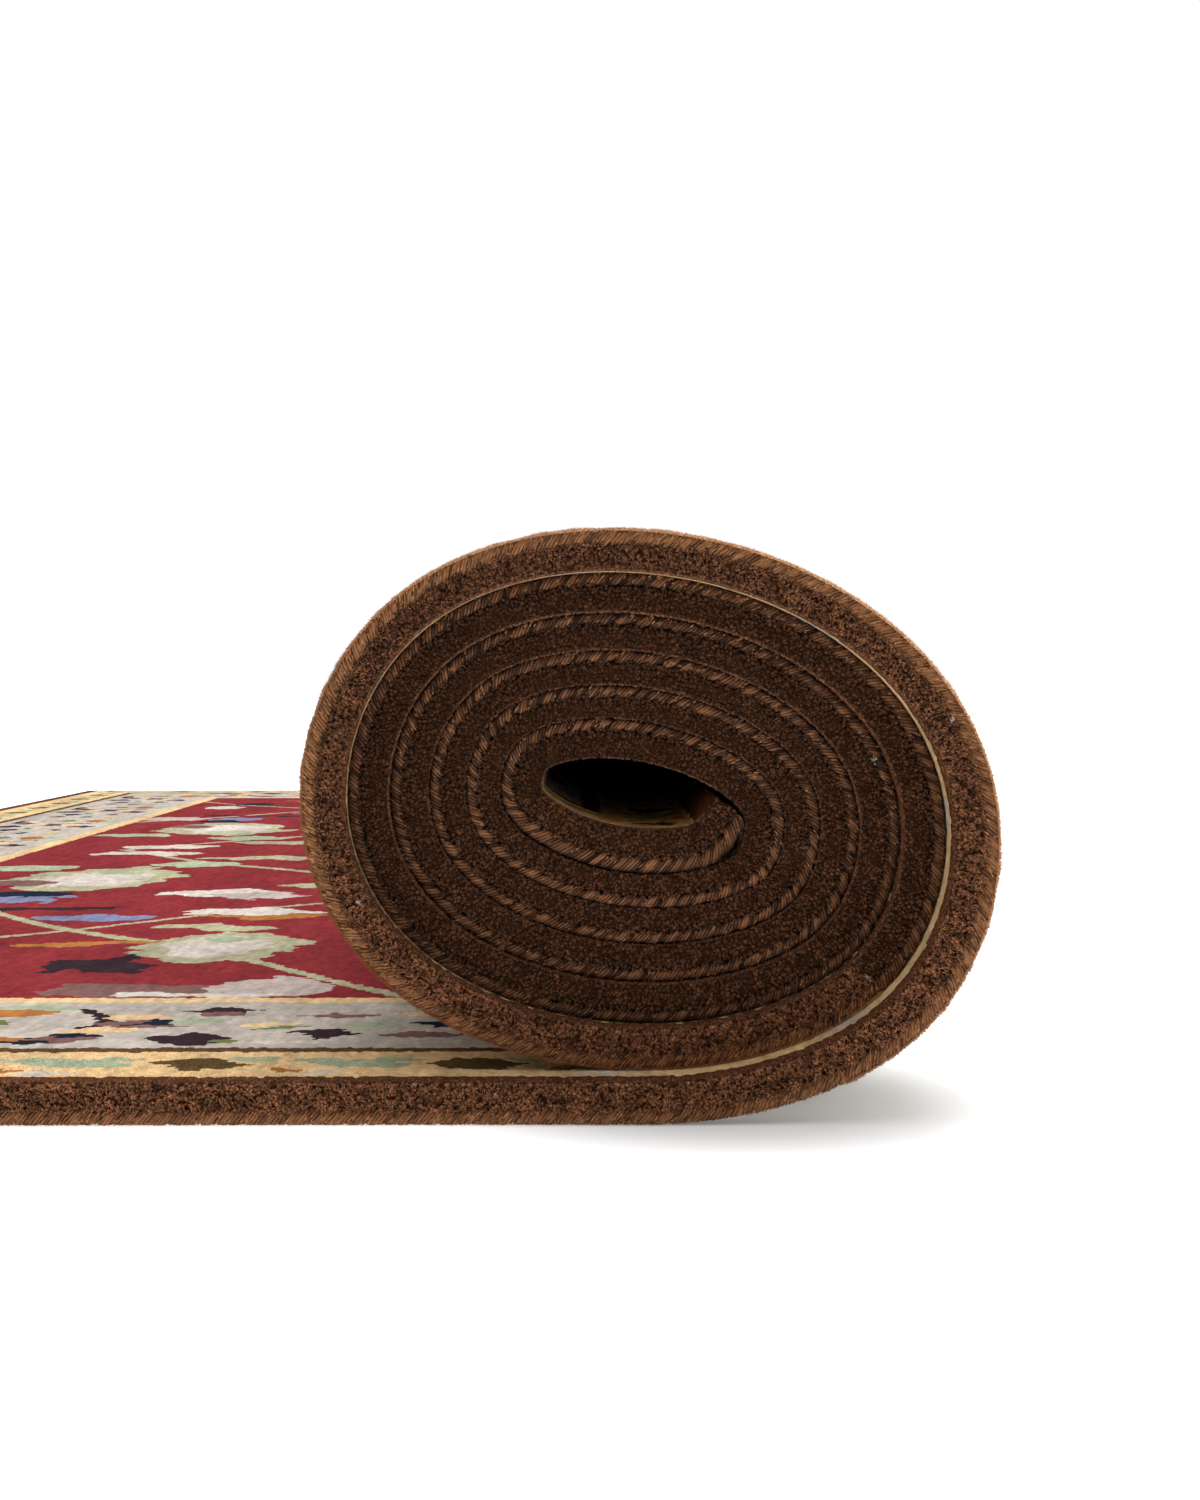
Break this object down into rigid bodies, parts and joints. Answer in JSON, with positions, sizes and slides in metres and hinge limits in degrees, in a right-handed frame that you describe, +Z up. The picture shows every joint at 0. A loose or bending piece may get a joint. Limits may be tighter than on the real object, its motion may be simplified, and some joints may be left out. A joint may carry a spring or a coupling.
{
  "type": "rolled up carpet",
  "caption": "Thick cut-pile wool rug wound pile inside into a flattened roll, one end left lying flat, its edges overcast in brown yarn.",
  "frame": {"origin": "middle of the footprint, on the surface that the roll and its flat end rest on", "axes": "+Y along the roll's axis and the rug's width, +X from the flat end towards the roll, +Z up"},
  "size_m": [0.686, 1.8732, 0.1745],
  "materials": {
    "wool_pile": "cut wool pile, dark brown at the edge, red field with gold and grey-beige borders, matt",
    "overcast_yarn": "brown wool yarn overcast along the edge, matt with a soft lit fringe of fibres"
  },
  "bodies": {
    "root": {"rug": "wool_pile", "overcast_side_near": "overcast_yarn", "overcast_side_far": "overcast_yarn", "overcast_end_outer": "overcast_yarn", "overcast_end_inner": "overcast_yarn"}
  },
  "joints": []
}
